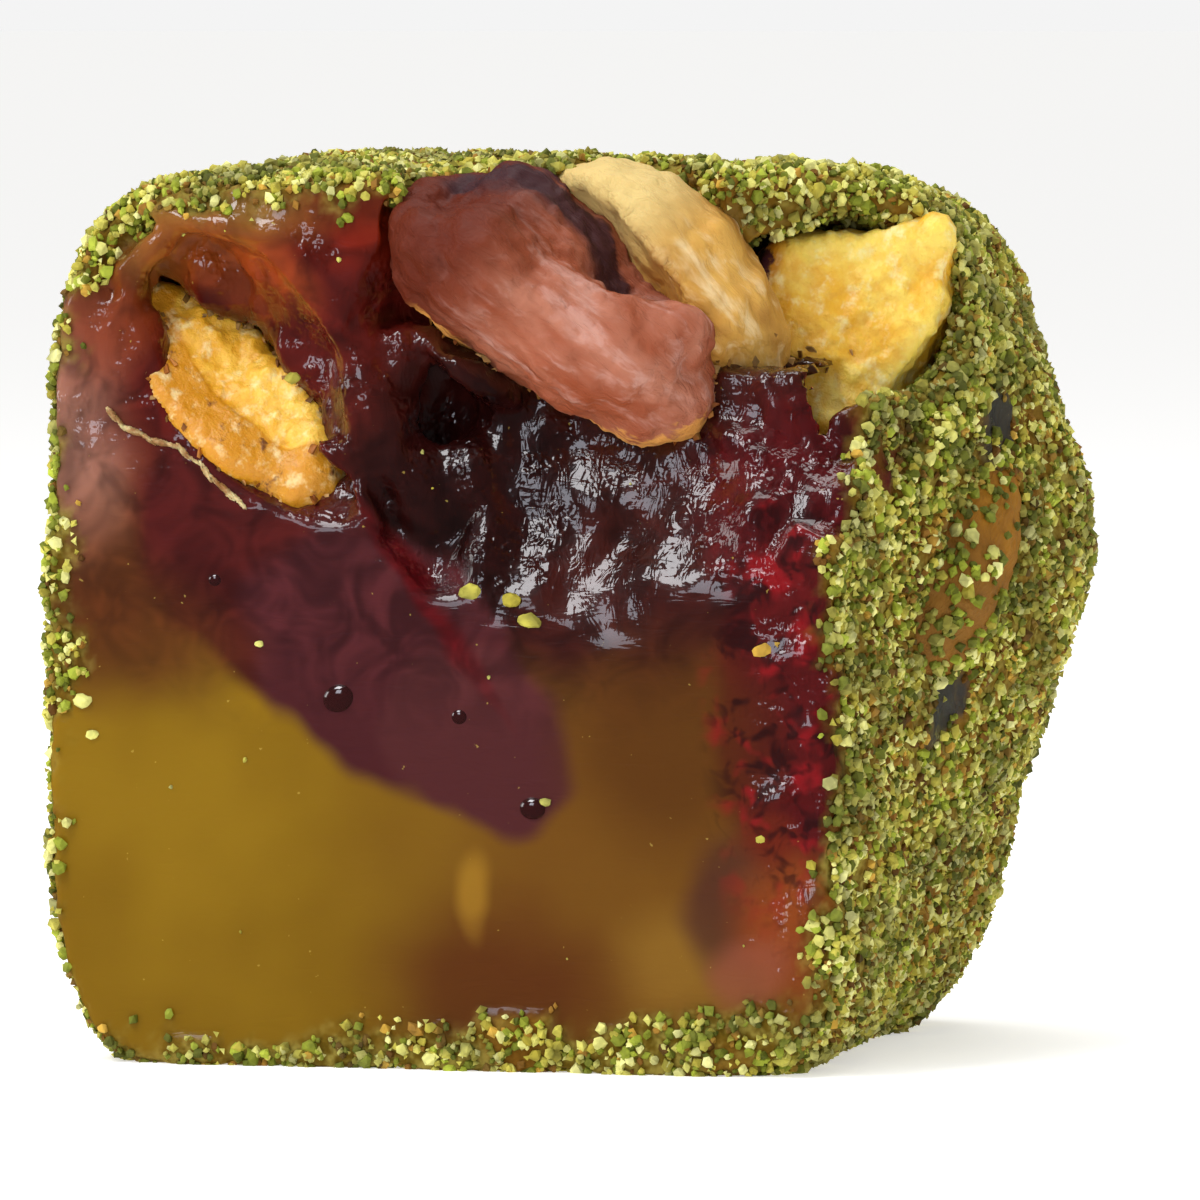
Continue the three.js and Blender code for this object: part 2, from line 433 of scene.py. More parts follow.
# Jelly stains and a painted sheen, shadow and lit edge, one over the other: middle, radii, tilt, softness,
# colour, strength.
STAINS_AND_PAINTED_LIGHT = [
    ((8.0, 0, 7.0), (8.8, 6, 9.0), 0, 0.5, "#68400d", 0.9),  # browner jelly, low on the right
    ((7.4, 0, 3.2), (1.8, 5, 1.6), 0, 0.6, "#86601c", 0.7),
    ((1.8, 0, 2.4), (3.4, 5, 2.4), 0, 0.6, "#542508", 0.85),
    ((1.2, 0, 5.2), (0.5, 3, 1.0), 0, 0.6, "#a87c20", 0.5),
    ((-10.6, 0, 18.0), (5.4, 8, 6.0), 0, 0.35, "#6a3716", 1.0),  # skins' stain at the left edge
    # painted pale sheen: a wet reflection by the left edge
    ((-11.4, 0, 19.6), (1.7, 3, 3.6), 0, 0.6, "#9a7064", 0.5),
    ((-3.2, 2, 19.8), (7.6, 12, 6.2), -22, 0.22, "#4e100b", 1.0),  # deep red round the kernels
    ((5.2, 2, 17.4), (8.4, 12, 6.4), 0, 0.25, "#36100b", 1.0),
    ((0.4, 2, 17.0), (3.2, 12, 4.8), -35, 0.4, "#210605", 0.9),
    ((10.6, 3, 17.4), (3.2, 9, 2.8), 0, 0.35, "#480a0d", 1.0),
    ((-2.6, 0, 25.7), (4.0, 4, 1.7), 0, 0.4, "#661404", 0.9),  # amber and red under the top edge
    ((-8.6, 0, 25.7), (4.4, 4, 1.7), 0, 0.4, "#7a5622", 0.9),
    ((-6.6, 1, 24.0), (2.6, 4, 1.1), -20, 0.5, "#8e3a12", 0.8),
    ((-10.4, 0, 22.6), (1.4, 4, 2.2), -20, 0.5, "#6c2a10", 0.8),
    ((10.9, 0, 10.8), (2.3, 5, 5.2), 0, 0.2, "#500a0b", 1.0),  # red column by the right edge
    ((9.0, 0, 5.0), (1.2, 4, 2.0), 0, 0.5, "#46201c", 0.75),
    ((11.2, 0, 4.5), (1.7, 4, 2.0), 0, 0.45, "#823a10", 0.9),  # kernel under a thin skin of jelly
    ((9.7, 0, 3.1), (1.2, 3, 0.9), 30, 0.5, "#8c4a34", 0.6),
    ((10.2, 0, 6.9), (0.9, 3, 0.8), 0, 0.5, "#661c08", 0.8),
    ((-5.2, 0, 14.9), (5.2, 6, 3.3), -38, 0.12, "#45110f", 1.0),  # sunk kernel, seen through the jelly
    ((-1.6, 0, 12.2), (5.0, 6, 3.3), -36, 0.1, "#461a1d", 1.0),
    ((1.3, 0, 9.9), (3.2, 6, 2.6), -32, 0.12, "#4d2122", 1.0),
    ((-0.3, 0, 13.9), (3.0, 5, 0.26), -53, 0.8, "#5c0208", 0.8),  # its lit red edge
    ((9.8, 6, 25.4), (5.5, 6, 2.0), 0, 0.3, "#7c5c1c", 0.9),  # olive shadow in the recess
    ((-9.6, 0, 13.2), (3.4, 4, 1.9), -24, 0.6, "#4a2208", 0.75),
    ((7.2, 0, 9.9), (2.8, 5, 2.8), 0, 0.6, "#4e2806", 0.7),
    ((13.9, 10.2, 15.4), (3.6, 1.2, 3.6), 0, 0.4, "#8e5e12", 1.0),  # flank kernel under the thin coat
    ((13.4, 8.9, 10.9), (3.0, 1.6, 2.4), 0, 0.4, "#3a3a38", 1.0),
    ((13.6, 10.9, 19.2), (3.0, 1.5, 1.7), 0, 0.4, "#383834", 1.0),
]


def caked(tree, body):
    """The colour of ground pistachio stuck to the jelly, under the loose grains."""
    cake = mix(tree, ramp(tree, grain(tree, body, 0.6, 2.0, 0.7), 0.38, 0.64), "#66500f", "#94843a")
    return mix(tree, ramp(tree, grain(tree, body, 3.2, 2.0), 0.5, 0.72), cake, "#7c5416")


def caked_finish():
    """Jelly caked with ground pistachio: dull and grainy, with nothing of the wet jelly to be seen."""
    made, tree, shader = material("jelly_caked_with_pistachio")
    body = add(tree, "ShaderNodeTexCoord").outputs["Object"]
    bump = {"Distance": 0.2 * MM, "Height": grain(tree, body, 0.35, 1.0, 0.7)}
    finish = {
        "Base Color": caked(tree, body),
        "Roughness": 0.85,
        "IOR": 1.45,
        "Specular IOR Level": 0.12,
        "Normal": add(tree, "ShaderNodeBump", bump).outputs[0],
    }
    set_inputs(tree, shader, finish)
    return made


def jelly_finish():
    """Starch and sugar jelly, cooked clear, cut with a wet knife and torn round the kernels."""
    made, tree, shader = material("jelly_cut_wet")
    body = add(tree, "ShaderNodeTexCoord").outputs["Object"]
    # The stains' borders wander, as skins bleed unevenly into the jelly; the painted sheen, shadow and lit
    # edge wander with them.
    swirl = {"Vector": body, "Scale": 1 / (2.6 * MM), "Detail": 1.0, "Roughness": 0.6}
    wander = add(tree, "ShaderNodeTexNoise", swirl).outputs["Color"]
    halves = (0.5, 0.5, 0.5)
    shift = add(tree, "ShaderNodeVectorMath", {0: wander, 1: halves}, operation="SUBTRACT").outputs[0]
    shift = add(tree, "ShaderNodeVectorMath", {0: shift, "Scale": 1.5 * MM}, operation="SCALE").outputs[0]
    place = add(tree, "ShaderNodeVectorMath", {0: body, 1: shift}, operation="ADD").outputs[0]
    # Cloudy starch: the clear jelly is never one flat amber.
    cloud = grain(tree, body, 6.0, 2.0)
    colour = mix(tree, ramp(tree, cloud, 0.3, 0.7), "#785704", "#86650a")
    for at, radii, tilt, soft, tone, strength in STAINS_AND_PAINTED_LIGHT:
        held = times(tree, inside(tree, place, at, radii, tilt, soft), strength)
        colour = mix(tree, held, colour, tone)
    # The deep red is marbled, darker and clearer by turns.
    marble = ramp(tree, grain(tree, body, 1.6, 2.0, 0.7, 0.8), 0.3, 0.7, 0.62, 1.4)
    upper = inside(tree, place, (0, 0, 18.5), (15, 20, 7.5), 0, 0.25)
    marble = add(tree, "ShaderNodeMix", {0: upper, 2: 1.0, 3: marble}).outputs[0]
    colour = add(tree, "ShaderNodeVectorMath", {0: colour, "Scale": marble}, operation="SCALE").outputs[0]
    # Blotches of deeper and brighter red where skins lie close under the surface.
    reddish = inside(tree, place, (10.9, 0, 11.4), (2.4, 6, 6.4), 0, 0.3)
    blotch = ramp(tree, grain(tree, body, 1.3, 2.0, 0.65), 0.5, 0.66)
    colour = mix(tree, times(tree, times(tree, blotch, reddish), 0.8), colour, "#8a0c14")
    shade = ramp(tree, grain(tree, body, 0.9, 2.0, 0.7, 0.5), 0.5, 0.36)
    colour = mix(tree, times(tree, times(tree, shade, reddish), 0.8), colour, "#200506")
    # Fine specks of nut dust pressed into the cut.
    dust = ramp(tree, grain(tree, body, 0.3, 2.0, 0.7), 0.73, 0.77)
    colour = mix(tree, times(tree, dust, 0.5), colour, "#b9a04a")
    # Under the coat the jelly is caked with ground pistachio.
    coat = add(tree, "ShaderNodeAttribute", attribute_name="coat").outputs["Fac"]
    colour = mix(tree, coat, colour, caked(tree, body))
    wet = ramp(tree, coat, 0.4, 0.0)
    tear = add(tree, "ShaderNodeAttribute", attribute_name="torn").outputs["Fac"]
    # Knife ripples: fine level lines on the flat.
    level = add(tree, "ShaderNodeMapping", {0: body, 3: (0.25, 0.25, 1.0)}).outputs[0]
    ripple = grain(tree, level, 0.35, 2.0, 0.6, 0.6)
    # Torn jelly: short, steep wet wrinkles.
    slanted = add(tree, "ShaderNodeMapping", {0: body, 2: (0, 0.9, 0), 3: (1.0, 1.0, 0.4)}).outputs[0]
    wrinkle = grain(tree, slanted, 0.5, 2.0, 0.65, 1.2)
    # Crumb-sized pits and blebs that glint here and there on the torn jelly.
    rugged_here = add(tree, "ShaderNodeAttribute", attribute_name="rugged").outputs["Fac"]
    sparse = ramp(tree, grain(tree, body, 0.9, 2.0), 0.48, 0.6)
    blebs = times(tree, sparse, ramp(tree, rugged_here, 0.1, 0.5))
    pits = grain(tree, body, 0.32, 1.0, 0.6)
    crust = grain(tree, body, 0.35, 1.0, 0.7)
    # Strength, height in millimetres and pattern, each over the one before.
    bumps = [
        (0.5, 0.05, ripple),
        (blebs, 0.16, pits),
        (times(tree, tear, 0.4), 0.12, wrinkle),
        (coat, 0.2, crust),
    ]
    normals = []
    for strength, height, pattern in bumps:
        bump = {"Strength": strength, "Distance": height * MM, "Height": pattern}
        if normals:
            bump["Normal"] = normals[-1]
        normals.append(add(tree, "ShaderNodeBump", bump).outputs[0])
    torn_open, outermost = normals[2:]
    set_inputs(
        tree,
        shader,
        {
            "Base Color": colour,
            "Roughness": ramp(tree, coat, 0.0, 1.0, 0.36, 0.85),
            "Subsurface Weight": 0.22,
            "Subsurface Radius": (1.0, 0.5, 0.2),
            "Subsurface Scale": 0.7 * MM,
            "IOR": 1.45,
            "Specular IOR Level": 0.12,
            "Coat Weight": times(tree, wet, ramp(tree, tear, 0.0, 0.5, 0.6, 1.0)),
            "Coat Roughness": 0.07,
            "Coat IOR": 1.5,
            "Normal": outermost,
            "Coat Normal": torn_open,
        },
    )
    return made


def grain_finish(name, stops, gloss=0.75):
    """Ground pistachio: every grain has its own shade between skin, rind and heart of the kernel."""
    made, tree, shader = material(name)
    tint = add(tree, "ShaderNodeAttribute", attribute_name="tint").outputs["Fac"]
    shades = add(tree, "ShaderNodeValToRGB", {0: tint})
    band = shades.color_ramp
    for i, (at, tone) in enumerate(stops):
        stop = band.elements[i] if i < 2 else band.elements.new(at)
        stop.position = at
        stop.color = linear(tone)
    body = add(tree, "ShaderNodeTexCoord").outputs["Object"]
    mottle = ramp(tree, grain(tree, body, 0.3, 1.0), 0.3, 0.7, 0.78, 1.12)
    # Some patches of the coat hold more skin and are duller, others are nearly all bright kernel.
    husks = ramp(tree, grain(tree, body, 2.2, 2.0, 0.6), 0.56, 0.4, 0.0, 0.55)
    dull = mix(tree, husks, shades.outputs[0], "#4c4a20")
    lit = add(tree, "ShaderNodeVectorMath", {0: dull, "Scale": mottle}, operation="SCALE")
    set_inputs(
        tree,
        shader,
        {
            "Base Color": lit.outputs[0],
            "Roughness": gloss,
            "Specular IOR Level": 0.25,
        },
    )
    return made


def kernel_place(tree, name):
    """Coordinates along, through and across a kernel, in millimetres from its middle."""
    at, _, turn = KERNELS[name]
    roll, lift, swing = (math.radians(a) for a in turn)
    body = add(tree, "ShaderNodeTexCoord").outputs["Object"]
    return add(
        tree,
        "ShaderNodeMapping",
        {0: body, 1: spot(*at), 2: (roll, -lift, swing), 3: (MM, MM, MM)},
        vector_type="TEXTURE",
    ).outputs[0]


def skin_finish(name, node, tones, rim, crest, butt):
    """The papery skin of a pistachio kernel: dull, finely wrinkled along its length."""
    made, tree, shader = material(name)
    own = kernel_place(tree, node)
    length = KERNELS[node][1][0]
    along = add(tree, "ShaderNodeMapping", {0: own, 3: (0.3, 1.0, 1.0)}).outputs[0]

    def noise_at(size, detail):
        settings = {"Vector": along, "Scale": 1 / size, "Detail": detail, "Roughness": 0.62}
        return add(tree, "ShaderNodeTexNoise", {**settings, "Distortion": 0.5}).outputs[0]

    streak = noise_at(0.9, 4.0)
    patch = noise_at(2.4, 3.0)
    colour = mix(tree, ramp(tree, patch, 0.35, 0.66), tones[0], tones[1])
    # Streaks of the third tone along the kernel: partly the skin's own paler streaks, partly a painted
    # sheen of light.
    colour = mix(tree, times(tree, ramp(tree, streak, 0.5, 0.72), 0.6), colour, tones[2])
    split = add(tree, "ShaderNodeSeparateXYZ", {0: own})
    wander = ramp(tree, noise_at(1.2, 4.0), 0.0, 1.0, -0.5, 0.5, "LINEAR")
    end = add(tree, "ShaderNodeMath", {0: split.outputs[0], 1: wander}, operation="ADD").outputs[0]
    colour = mix(tree, times(tree, ramp(tree, end, length * 0.02, -length * 0.3), 0.95), colour, butt)
    # How near the outline: 0 at the middle, 1 at the kernel's edge all round.
    outline = add(tree, "ShaderNodeAttribute", attribute_name="outline").outputs["Fac"]
    side = add(tree, "ShaderNodeAttribute", attribute_name="side").outputs["Fac"]
    frayed = ramp(tree, noise_at(0.4, 4.0), 0.25, 0.75, -0.07, 0.07, "LINEAR")
    outline = add(tree, "ShaderNodeMath", {0: outline, 1: frayed}, operation="ADD").outputs[0]
    behind = add(tree, "ShaderNodeMath", {0: split.outputs[1], 1: wander}, operation="ADD").outputs[0]
    upper = times(tree, ramp(tree, outline, 0.86, 0.94), ramp(tree, behind, -0.1, 0.6))
    upper = times(tree, upper, ramp(tree, side, 0.4, 1.3))
    fading = ramp(tree, end, length * 0.46, length * 0.1, 0.5, 0.95)
    colour = mix(tree, times(tree, upper, fading), colour, crest)
    slant = times(tree, split.outputs[0], 0.9)
    lower = add(tree, "ShaderNodeMath", {0: side, 1: slant}, operation="SUBTRACT").outputs[0]
    torn_rim = times(tree, ramp(tree, outline, 0.93, 0.98), ramp(tree, lower, 1.2, 0.2))
    colour = mix(tree, times(tree, torn_rim, 0.85), colour, rim)
    wrinkle = add(
        tree, "ShaderNodeBump", {"Strength": 0.9, "Distance": 0.17 * MM, "Height": noise_at(0.4, 3.0)}
    )
    set_inputs(
        tree,
        shader,
        {
            "Base Color": colour,
            "Roughness": ramp(tree, streak, 0.3, 0.7, 0.5, 0.68),
            "Subsurface Weight": 0.12,
            "Subsurface Radius": (1.0, 0.5, 0.3),
            "Subsurface Scale": 0.5 * MM,
            "Specular IOR Level": 0.16,
            "Coat Weight": 0.03,
            "Coat Roughness": 0.35,
            "Normal": wrinkle.outputs[0],
        },
    )
    return made


def flesh_finish(name, node, tones, skin, skin_from):
    """Broken pistachio flesh: waxy, yellow and granular, amber towards the edge. Its skin is left where
    the outline counts more than skin_from."""
    made, tree, shader = material(name)
    own = kernel_place(tree, node)

    def noise_at(size, detail):
        settings = {"Vector": own, "Scale": 1 / size, "Detail": detail, "Roughness": 0.65}
        return add(tree, "ShaderNodeTexNoise", settings).outputs[0]

    colour = mix(tree, ramp(tree, noise_at(1.8, 4.0), 0.36, 0.64), tones[0], tones[1])
    hulled = add(tree, "ShaderNodeAttribute", attribute_name="skin").outputs["Fac"]
    frayed = add(tree, "ShaderNodeMath", {0: hulled, 1: noise_at(0.8, 4.0)}, operation="ADD").outputs[0]
    colour = mix(tree, times(tree, ramp(tree, frayed, 0.42, 1.2), 0.85), colour, "#d08808")
    # Pale specks of the third tone: partly the flesh's paler grain, partly painted glints of light.
    colour = mix(tree, times(tree, ramp(tree, noise_at(0.6, 3.0), 0.5, 0.7), 0.55), colour, tones[2])
    colour = mix(tree, ramp(tree, frayed, skin_from, skin_from + 0.14), colour, skin)
    crumbly = add(
        tree, "ShaderNodeBump", {"Strength": 0.8, "Distance": 0.14 * MM, "Height": noise_at(0.4, 3.0)}
    )
    set_inputs(
        tree,
        shader,
        {
            "Base Color": colour,
            "Roughness": 0.48,
            "Subsurface Weight": 0.25,
            "Subsurface Radius": (1.0, 0.7, 0.25),
            "Subsurface Scale": 0.7 * MM,
            "Coat Weight": 0.15,
            "Coat Roughness": 0.3,
            "Normal": crumbly.outputs[0],
        },
    )
    return made


# ---------------------------------------------------------------- the jelly
def sloped(jelly):
    """Draws the bowl under the centre kernel out into the long wet slope that the knife left."""
    for v in jelly.data.vertices:
        across = (v.co.x - MIDDLE_X) / MM
        depth = (v.co.y - CUT_Y) / MM
        height = v.co.z / MM
        if not (10 < height < 21 and -5 < across < 12.6 and 0 < depth < 9) or behind_cut(v.co) > 0.35:
            continue
        foot = 12.9 + 0.9 * noise.noise(Vector((across * 0.35, 0, 3))) + 0.05 * (across - 4.4) ** 2
        foot += 0.25 * noise.noise(Vector((across * 1.3, 0, 9)))
        waves = 0.3 * noise.noise(Vector((across, 0, height)) * 0.45) + 0.14 * noise.noise(v.co * 900)
        run = height - foot + 0.55 * noise.noise(Vector((across, 4, height)) * 0.8)
        onset = 0.14 * max(0.0, min(2.0, run)) ** 2 + STEEP * max(0.0, run - 2)
        allowed = max(0.0, onset - 0.3 * max(0.0, run - 3.6) + waves * min(1.0, max(0.0, run + 0.5)))
        allowed += 0.45 * max(0.0, abs(across - 5.6) - 4.2) * min(1.0, max(0.0, height - 14))
        if depth > allowed:
            v.co.y = CUT_Y + (allowed + 0.04 * (depth - allowed)) * MM


def make_jelly():
    jelly = copy_of("jelly", "jelly_block")
    lumps = [
        lump((-4.5, 2.5, 23.2), (4.2, 1.9, 1.3), -50),  # red jelly along the left kernel's upper side
        lump((-2.5, 1.5, 20.4), (1.1, 1.0, 2.6), -40),
        lump((-7.7, 2.6, 23.9), (1.8, 1.4, 1.2), -50),  # and over its upper end
        lump((-6.9, 0.4, 25.3), (2.6, 0.9, 0.5), -10),  # wet lip over it
        lump((-4.6, 0.5, 24.8), (1.7, 0.8, 0.45), -38),
        lump((-9.3, 0.5, 24.4), (1.5, 0.8, 0.45), 40),
        lump((-9.9, 0.5, 23.0), (1.4, 0.7, 0.3), 62),
        lump((-10.4, 0.4, 22.0), (1.3, 0.6, 0.3), 70),
        lump((-2.4, 1.2, 19.8), (1.2, 1.2, 3.0), 12),  # ridge between the two hollows
        lump((-1.0, 1.4, 17.4), (1.1, 0.9, 2.2), 26),
        lump((0.4, 1.8, 17.6), (1.0, 0.9, 1.5), 10),
        lump((-2.3, 0.35, 17.0), (0.3, 0.35, 1.0), 30),
        lump((-1.5, 0.45, 18.3), (0.25, 0.3, 0.7), -20),
        lump((-3.4, 0.3, 18.4), (0.3, 0.3, 0.8), 50),
        lump((-9.45, 0.9, 21.7), (1.9, 0.9, 0.6), -66),  # jelly over its lower side
        lump((-5.9, 2.7, 22.9), (0.8, 1.2, 0.8)),
        lump((-8.7, 2.5, 24.3), (0.8, 1.2, 0.8)),
        lump((0.5, 2.7, 21.0), (2.1, 2.6, 0.6), -36),  # shelf under the centre kernel
        lump((-2.15, 1.0, 25.2), (0.6, 0.9, 1.5), 8),  # and jelly closing on its top end
        lump((-4.3, 2.2, 20.6), (0.8, 1.2, 2.4), 42),
        lump((9.6, 3.4, 18.4), (2.6, 2.0, 0.9), -30),  # folds at the right
        lump((11.4, 2.6, 16.9), (1.8, 1.6, 0.8), 26),
        lump((10.6, 1.2, 15.0), (1.6, 0.9, 0.8), -20),
        lump((8.4, 4.0, 19.7), (0.9, 1.6, 1.9), 8),
        lump((8.6, 6.4, 19.9), (1.6, 2.0, 1.4)),
        lump((9.9, 6.8, 20.0), (1.2, 1.6, 1.2)),
        lump((11.0, 0.25, 12.4), (1.1, 0.5, 0.7), 15),  # swellings down the red column
        lump((11.6, 0.25, 10.0), (0.8, 0.5, 1.2), -10),
        lump((10.5, 0.2, 8.2), (0.9, 0.45, 0.7), 20),
        lump((11.2, 0.5, 4.6), (1.5, 0.75, 1.7)),  # kernel under a thin skin of jelly
    ]
    join(jelly, lumps)
    remesh(jelly, JELLY_CELL)
    sloped(jelly)
    remesh(jelly, JELLY_CELL)
    soften(jelly, 6)
    paint(jelly, "coat", coated)
    paint(jelly, "torn", torn)
    paint(jelly, "rugged", rugged)
    paint(jelly, "fringe", fringed)
    paint(jelly, "opened", lambda place, normal: 1 - coated(place, normal))
    relief(
        jelly,
        [
            (0.7, 4.0, (1, 1, 1), 0.5, "coat"),
            (0.24, 0.9, (1, 1, 1), 0.6, "coat"),
            (0.06, 0.7, (1, 1, 0.5), 0.6, "torn"),
            (0.5, 2.4, (1, 1, 0.7), 0.5, "rugged"),
            (0.35, 1.1, (1, 1, 0.7), 0.6, "rugged"),
        ],
    )
    for v in jelly.data.vertices:
        v.co.z = max(v.co.z, 0.0)  # the base is pressed flat by the tray it set in
    jelly.data.materials.append(jelly_finish())
    jelly.data.materials.append(caked_finish())
    coat = jelly.data.attributes["coat"].data
    for face in jelly.data.polygons:
        face.material_index = int(min(coat[v].value for v in face.vertices) > WHOLLY_COATED)
    shaded(jelly)
    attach(jelly, "root")
    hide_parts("jelly")
    return jelly


# ---------------------------------------------------------------- the kernels
def make_kernel(node, finish, layers, worth=None, touches=(), slim=1.0):
    kernel = copy_of(node, node + "_nut")
    remesh(kernel, KERNEL_CELL)
    soften(kernel, 3)
    outlined(kernel, node)
    slimmed(kernel, node, slim)
    pressed(kernel, node, touches)
    soften(kernel, 2)
    if worth:
        paint(kernel, "skin", worth)
        paint(kernel, "broken", lambda place, normal: 1 - worth(place, normal))
    relief(kernel, layers, SNUG)
    kernel.data.materials.append(finish)
    shaded(kernel)
    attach(kernel, "root")
    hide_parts(node)
    return kernel


def outlined(kernel, node):
    """Paints, before a kernel is pressed, how near each place is to its outline and on which side."""
    middle, turn = stance(node)
    back = turn.inverted()
    length, width = KERNELS[node][1][:2]

    def outline(place, normal):
        own = back @ (place - middle) / MM
        return math.hypot(own.x * 2 / length - 0.05, own.z * 2 / width - 0.1)

    paint(kernel, "outline", outline)
    paint(kernel, "side", lambda place, normal: (back @ (place - middle)).z / MM)


def slimmed(kernel, node, slim):
    """Narrows a kernel towards its lower side, most at its upper end."""
    if slim == 1:
        return
    middle, turn = stance(node)
    back = turn.inverted()
    length, width = KERNELS[node][1][:2]
    for v in kernel.data.vertices:
        own = back @ (v.co - middle) / MM
        upper_end = max(0.0, min(1.0, 0.5 - own.x / length))
        keep = slim * (1 - 0.6 * upper_end)
        own.z = -width / 2 + (own.z + width / 2) * keep
        v.co = middle + turn @ own * MM


def rimmed(kernel, jelly):
    """Paints where a kernel's surface dips into the jelly: the skin tears and crumbles there."""
    tree = BVHTree.FromObject(jelly, bpy.context.evaluated_depsgraph_get())

    def worth(place, normal):
        near, way = tree.find_nearest(place)[:2]
        out = (place - near).dot(way)
        at_border = -0.05 * MM < out < 0.2 * MM
        return 1.0 if at_border and place.z < 23.5 * MM else 0.0

    return paint(kernel, "rim", worth)


def hull_of(node, shown):
    """How near a place is to the kernel's whole outline: 1 on its skin, 0 well inside. shown is the
    width, in parts of the kernel's radius, of the skin that is left."""
    middle, turn = stance(node)
    back = turn.inverted()
    size = KERNELS[node][1]

    def worth(place, normal):
        own = back @ (place - middle) / MM
        reach = Vector((own.x / size[0], own.y / size[2], own.z / size[1])).length * 2
        return max(0.0, min(1.0, (reach - 0.97 + shown) / shown))

    return worth


# ---------------------------------------------------------------- the coat
def grain_shapes(name, count, rough, seed, squash, facets):
    """A few odd grains, 1 mm across, in a tray of their own. facets is 20 for a chunky grain, 8 for a
    splinter and 4 for a speck of dust."""
    tray = bpy.data.collections.new(name)
    bpy.context.scene.collection.children.link(tray)
    for i in range(count):
        bpy.ops.object.select_all(action="DESELECT")
        if facets == 20:
            bpy.ops.mesh.primitive_ico_sphere_add(subdivisions=1, radius=0.5 * MM)
        elif facets == 8:
            bpy.ops.mesh.primitive_uv_sphere_add(segments=4, ring_count=2, radius=0.55 * MM)
        else:
            bpy.ops.mesh.primitive_cone_add(vertices=3, radius1=0.6 * MM, depth=0.9 * MM)
        chip = bpy.context.object
        bpy.ops.object.mode_set(mode="EDIT")
        bpy.ops.mesh.select_all(action="SELECT")
        bpy.ops.transform.resize(value=(1.0, 0.7 + 0.12 * i, squash))
        bpy.ops.transform.vertex_random(offset=rough * MM, seed=seed + i)
        bpy.ops.object.mode_set(mode="OBJECT")
        bpy.context.scene.collection.objects.unlink(chip)
        tray.objects.link(chip)
    return tray


def scatter(name, surface, tray, worth, per_mm2, sizes, lift, seed, finish):
    """Strews grains over a surface where its painted worth is high, and makes them real mesh. sizes are
    the smallest and largest grain and lift is how far they stand off, in millimetres."""
    bpy.ops.object.select_all(action="DESELECT")
    bpy.ops.mesh.primitive_plane_add(size=1 * MM)
    strewn = bpy.context.object
    strewn.name = name
    tree, _, way_out = shape_tree(strewn, name)
    ground = add(tree, "GeometryNodeObjectInfo", {"Object": surface}, transform_space="ORIGINAL")
    held = add(tree, "GeometryNodeInputNamedAttribute", {"Name": worth}, data_type="FLOAT").outputs[0]
    density = times(tree, held, per_mm2 * 1e6)
    dots = add(
        tree,
        "GeometryNodeDistributePointsOnFaces",
        {"Mesh": ground.outputs["Geometry"], "Density": density, "Seed": seed},
        distribute_method="RANDOM",
    )
    rise = add(
        tree,
        "ShaderNodeVectorMath",
        {0: dots.outputs["Normal"], "Scale": lift * MM},
        operation="SCALE",
    ).outputs[0]
    raised = add(tree, "GeometryNodeSetPosition", {"Geometry": dots.outputs["Points"], "Offset": rise})
    chips = add(
        tree,
        "GeometryNodeCollectionInfo",
        {"Collection": tray, "Separate Children": True, "Reset Children": True},
    )
    turned = add(
        tree,
        "FunctionNodeRandomValue",
        {0: (0.0, 0.0, 0.0), 1: (FULL_TURN, FULL_TURN, FULL_TURN), "Seed": seed + 1},
        data_type="FLOAT_VECTOR",
    ).outputs[0]
    drawn = [{2: 0.0, 3: 1.0, "Seed": seed + n} for n in (2, 3)]
    spread, shade = (
        add(tree, "FunctionNodeRandomValue", inputs, data_type="FLOAT").outputs[1] for inputs in drawn
    )
    skewed = add(tree, "ShaderNodeMath", {0: spread, 1: 1.6}, operation="POWER").outputs[0]
    size = add(tree, "ShaderNodeMapRange", {0: skewed, 3: sizes[0], 4: sizes[1]}).outputs[0]
    placed = add(
        tree,
        "GeometryNodeInstanceOnPoints",
        {
            "Points": raised.outputs[0],
            "Instance": chips.outputs[0],
            "Pick Instance": True,
            "Rotation": turned,
            "Scale": size,
        },
    )
    tinted = add(
        tree,
        "GeometryNodeStoreNamedAttribute",
        {"Geometry": placed.outputs[0], "Name": "tint", "Value": shade},
        data_type="FLOAT",
        domain="INSTANCE",
    )
    real = add(tree, "GeometryNodeRealizeInstances", {0: tinted.outputs[0]})
    place = add(tree, "ShaderNodeSeparateXYZ", {0: add(tree, "GeometryNodeInputPosition").outputs[0]})
    floor = add(tree, "ShaderNodeMath", {0: place.outputs[2], 1: -SUNK}, operation="MAXIMUM").outputs[0]
    rest = add(
        tree, "ShaderNodeCombineXYZ", {0: place.outputs[0], 1: place.outputs[1], 2: floor}
    ).outputs[0]
    pressed = add(tree, "GeometryNodeSetPosition", {"Geometry": real.outputs[0], "Position": rest})
    done = add(tree, "GeometryNodeSetMaterial", {"Geometry": pressed.outputs[0], "Material": finish})
    tree.links.new(done.outputs[0], way_out)
    settle(strewn)
    strewn.data.name = name
    shaded(strewn, False)
    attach(strewn, "root")


def clear_tray(tray):
    for chip in list(tray.objects):
        bpy.data.objects.remove(chip)
    bpy.data.collections.remove(tray)


jelly = make_jelly()

